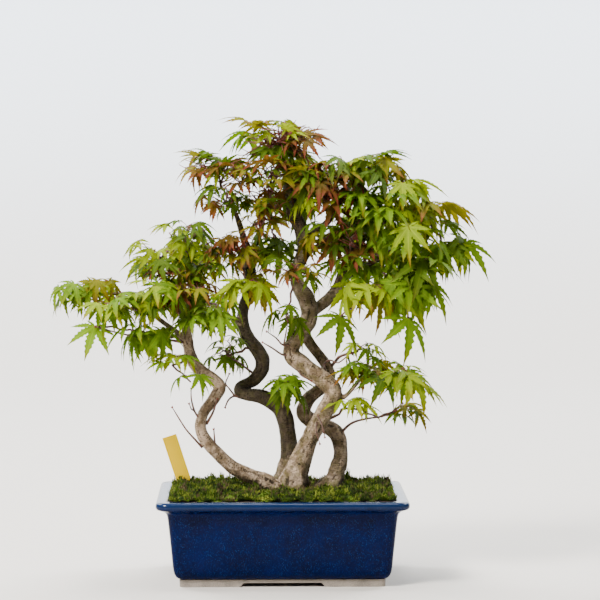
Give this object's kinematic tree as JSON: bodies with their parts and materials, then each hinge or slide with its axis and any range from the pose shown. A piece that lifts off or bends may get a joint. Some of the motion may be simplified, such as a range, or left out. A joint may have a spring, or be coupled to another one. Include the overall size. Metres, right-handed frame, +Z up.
{
  "type": "bonsai tree",
  "caption": "Clump-form maple bonsai with sinuous trunks and layered palmate foliage in a rectangular glazed pot with a plant label.",
  "frame": {"origin": "middle of the object's plan at the underside of the pot's foot", "axes": "-Y is the front of the tree and of the pot's long side, +X its right seen from the front, +Z up"},
  "size_m": [0.529, 0.2217, 0.5536],
  "materials": {
    "glaze": "gloss",
    "bare_clay": "matte",
    "soil": "matte",
    "moss": "matte",
    "label": "satin",
    "bark": "matte",
    "dark_bark": "matte",
    "foliage": "matte"
  },
  "bodies": {
    "root": {"apex_leaves": "foliage", "back_left_bough": "bark", "back_left_leaves": "foliage", "back_right_bough": "bark", "back_right_leaves": "foliage", "back_top_bough": "bark", "back_top_leaves": "foliage", "centre_high_leaves": "foliage", "centre_leaves": "foliage", "centre_trunk_elbow": "bark", "centre_trunk_foot": "bark", "centre_trunk_rise": "bark", "centre_trunk_sway": "bark", "centre_trunk_top": "bark", "crest_bough": "bark", "far_left_bough": "bark", "far_left_leaves": "foliage", "front_leaves": "foliage", "inner_crest_bough": "bark", "inner_crest_leaves": "foliage", "inner_left_bough": "bark", "inner_left_leaves": "foliage", "inner_low_leaves": "foliage", "left_crest_leaves": "foliage", "left_hanging_leaves": "foliage", "left_low_bough": "bark", "left_low_leaves": "foliage", "left_shoulder_leaves": "foliage", "left_trunk_bend": "bark", "left_trunk_foot": "bark", "left_trunk_rise": "bark", "left_trunk_top": "bark", "low_tip_leaves": "foliage", "lower_centre_leaves": "foliage", "lower_left_leaves": "foliage", "lower_right_bough": "bark", "lower_right_leaves": "foliage", "middle_trunk_rise": "dark_bark", "middle_trunk_shelf": "dark_bark", "middle_trunk_sweep": "dark_bark", "middle_trunk_top": "dark_bark", "moss": "moss", "plant_label": "label", "pot": "glaze", "pot_foot": "bare_clay", "right_high_bough": "bark", "right_high_leaves": "foliage", "right_low_bough": "bark", "right_low_leaves": "foliage", "right_mid_bough": "bark", "right_mid_leaves": "foliage", "right_trunk_bough": "bark", "right_trunk_climb": "bark", "right_trunk_foot": "bark", "right_trunk_loop": "bark", "root_base": "bark", "soil": "soil", "upper_right_bough": "bark", "upper_right_leaves": "foliage", "young_leaves": "foliage"}
  },
  "joints": []
}
